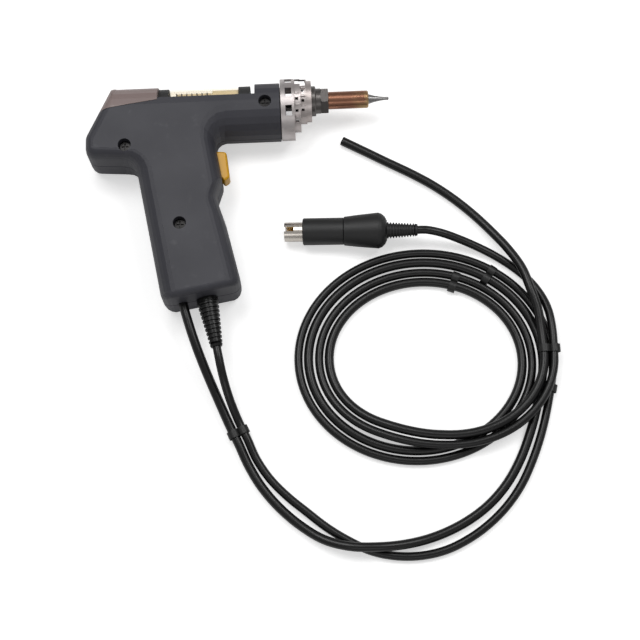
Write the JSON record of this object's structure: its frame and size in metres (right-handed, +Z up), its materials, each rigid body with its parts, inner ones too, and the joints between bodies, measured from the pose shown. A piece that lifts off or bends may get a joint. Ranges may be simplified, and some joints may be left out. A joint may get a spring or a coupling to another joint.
{
  "type": "desoldering iron",
  "caption": "Pistol-grip desoldering gun with a glass solder collector in its top, a heated nozzle behind a vented guard, sprung rear cap, trigger, vacuum hose and cable with a round plug.",
  "frame": {"origin": "on the table under the middle of the iron's box, cords and plug left out; the iron lies on its left side", "axes": "+X along the suction axis towards the nozzle, +Y from the grip's bottom towards the top of the iron, +Z up from the table"},
  "size_m": [0.3107, 0.3286, 0.042],
  "materials": {
    "housing": "fine matte, dark blue-grey",
    "rear_cap": "satin, taupe",
    "seal": "matte black",
    "pipe": "bright drawn",
    "spring": "drawn wire",
    "glass": "clear",
    "filter": "pressed fibre, ivory",
    "guard": "satin nickel",
    "insulator": "matte black",
    "screws": "bright",
    "dark_steel": "heat-darkened",
    "sleeve": "heat-tinted bronze",
    "heater": "dark",
    "tip": "satin",
    "trigger": "satin yellow",
    "switch": "matte black",
    "plunger": "satin red",
    "cord": "soft satin black",
    "plug_metal": "satin nickel",
    "plug": "fine matte black",
    "pins": "bright"
  },
  "bodies": {
    "iron": {"housing_right": "housing", "housing_left": "housing", "front_seal": "seal", "hot_pipe": "pipe", "latch_spring": "spring", "trigger_spring": "spring", "baffle_spring": "spring", "glass_tube": "glass", "cotton_filter": "filter", "filter_core": "filter", "heat_guard": "guard", "guard_insulator": "insulator", "guard_screws": "screws", "housing_screws": "screws", "heater_collar": "dark_steel", "union_nut": "dark_steel", "heater_sleeve": "sleeve", "heater_core": "heater", "nozzle": "tip", "switch_body": "switch", "vacuum_elbow": "cord", "inner_hose": "cord", "strain_relief": "cord", "hose_lead": "cord", "hose_coil": "cord", "hose_tail": "cord", "hose_tip": "cord", "cable_lead": "cord", "cable_coil": "cord", "cable_tail": "cord", "cord_clips": "cord", "plug_shell": "plug_metal", "plug_insert": "plug", "plug_body": "plug", "plug_cap": "plug", "plug_relief": "plug", "plug_pins": "pins"},
    "tube_release": {"rear_cap": "rear_cap", "rear_seal": "seal", "suction_pipe": "pipe"},
    "trigger": {"trigger": "trigger"},
    "plunger": {"switch_plunger": "plunger"}
  },
  "joints": [
    {"name": "rear_cap_slide", "type": "slide", "parent": "iron", "child": "tube_release", "axis": [-1, 0, 0], "range_m": [0, 0.007], "stiffness_N_per_m": 300, "springref_m": -0.003, "deforming": ["latch_spring"]},
    {"name": "trigger_slide", "type": "slide", "parent": "iron", "child": "trigger", "axis": [-0.9876, -0.1572, 0], "range_m": [0, 0.0025], "stiffness_N_per_m": 400, "springref_m": -0.002, "deforming": ["trigger_spring"]},
    {"name": "plunger_slide", "type": "slide", "parent": "iron", "child": "plunger", "axis": [-0.9876, -0.1572, 0], "range_m": [0, 0.0025]}
  ],
  "couplings": [
    {"joint": "plunger_slide", "follows": "trigger_slide", "ratio": 1}
  ]
}
